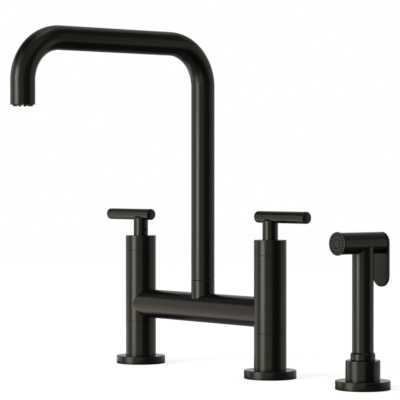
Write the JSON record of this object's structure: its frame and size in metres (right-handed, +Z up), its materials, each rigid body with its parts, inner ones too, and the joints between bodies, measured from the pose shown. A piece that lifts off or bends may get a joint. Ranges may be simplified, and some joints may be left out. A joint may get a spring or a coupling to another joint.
{
  "type": "bridge kitchen faucet",
  "caption": "Matte black bridge kitchen faucet: columns with T handles joined by a bridge, square-arched swivel spout, and a side spray with a lever.",
  "frame": {"origin": "on the deck under the bridge, midway between the two valve columns", "axes": "+X along the bridge to the user's right, +Y away from the user, +Z up"},
  "size_m": [0.4077, 0.2497, 0.3875],
  "materials": {
    "black_finish": "satin",
    "bare_brass": "machined",
    "stainless_steel": "satin",
    "black_screw": "satin",
    "black_rubber": "matte",
    "white_ceramic": "lapped",
    "nylon": "matte",
    "spray_face_finish": "satin",
    "aerator_plastic": "matte"
  },
  "bodies": {
    "faucet_body": {"bridge_tube": "black_finish", "bridge_end_fittings": "bare_brass", "spout_socket": "black_finish", "spout_lock_screw": "black_screw", "spout_washer": "nylon", "diverter_body": "bare_brass", "diverter_spring": "stainless_steel", "spray_feed_tube": "bare_brass", "left_valve_body": "black_finish", "right_valve_body": "black_finish", "left_pillar": "black_finish", "right_pillar": "black_finish", "left_flange": "black_finish", "right_flange": "black_finish", "spray_flange": "black_finish", "flange_gaskets": "black_rubber", "left_shank": "bare_brass", "right_shank": "bare_brass", "spray_shank": "bare_brass", "rubber_washers": "black_rubber", "steel_washers": "stainless_steel", "mounting_nuts": "bare_brass", "left_cap": "black_finish", "right_cap": "black_finish", "left_cartridge_body": "bare_brass", "right_cartridge_body": "bare_brass", "fixed_discs": "white_ceramic", "seat_seals": "black_rubber", "spray_holder": "black_finish", "spray_holder_liner": "nylon"},
    "poppet": {"diverter_poppet": "bare_brass"},
    "spout": {"spout_tube": "black_finish", "spout_plug": "bare_brass", "spout_o_rings": "black_rubber", "aerator_shell": "aerator_plastic", "aerator_screen": "stainless_steel", "aerator_gasket": "black_rubber"},
    "left_handle": {"left_handle_stem": "black_finish", "left_handle_bar": "black_finish", "left_set_screw": "black_screw", "left_spindle": "bare_brass", "left_turning_disc": "white_ceramic"},
    "right_handle": {"right_handle_stem": "black_finish", "right_handle_bar": "black_finish", "right_set_screw": "black_screw", "right_spindle": "bare_brass", "right_turning_disc": "white_ceramic"},
    "ferrule": {"spray_ferrule": "black_finish", "spray_hose_fitting": "bare_brass"},
    "wand": {"spray_wand_tube": "black_finish", "spray_wand_bush": "nylon", "spray_head": "black_finish", "spray_face": "spray_face_finish", "spray_valve_seat": "bare_brass", "spray_valve_gland": "bare_brass", "spray_valve_spring": "stainless_steel", "spray_lever_pin": "stainless_steel"},
    "lever": {"spray_lever": "black_finish"},
    "valve": {"spray_valve_stem": "stainless_steel", "spray_valve_seal": "black_rubber"}
  },
  "joints": [
    {"name": "spout_swivel", "type": "hinge", "parent": "faucet_body", "child": "spout", "pos_m": [0, 0, 0.0898], "axis": [0, 0, 1], "continuous": true},
    {"name": "left_handle_turn", "type": "hinge", "parent": "faucet_body", "child": "left_handle", "pos_m": [-0.1016, 0, 0.1313], "axis": [0, 0, 1], "range_deg": [0, 90]},
    {"name": "right_handle_turn", "type": "hinge", "parent": "faucet_body", "child": "right_handle", "pos_m": [0.1016, 0, 0.1313], "axis": [0, 0, -1], "range_deg": [0, 90]},
    {"name": "diverter_lift", "type": "slide", "parent": "faucet_body", "child": "poppet", "axis": [0, 0, 1], "range_m": [0, 0.0025], "stiffness_N_per_m": 40, "springref_m": -0.003, "deforming": ["diverter_spring"]},
    {"name": "spray_lift", "type": "slide", "parent": "faucet_body", "child": "ferrule", "axis": [0, 0, 1], "range_m": [0, 0.11]},
    {"name": "wand_swivel", "type": "hinge", "parent": "ferrule", "child": "wand", "pos_m": [0.2286, 0, 0.0292], "axis": [0, 0, 1], "continuous": true},
    {"name": "lever_press", "type": "hinge", "parent": "wand", "child": "lever", "pos_m": [0.2286, 0.019, 0.12345], "axis": [-1, 0, 0], "range_deg": [0, 10], "stiffness_Nm_per_rad": 0.5, "springref_deg": -8.59},
    {"name": "valve_pull", "type": "slide", "parent": "wand", "child": "valve", "axis": [0, 1, 0], "range_m": [0, 0.0014], "deforming": ["spray_valve_spring"]}
  ],
  "couplings": [
    {"joint": "valve_pull", "follows": "lever_press", "m_per_rad": 0.0079}
  ]
}
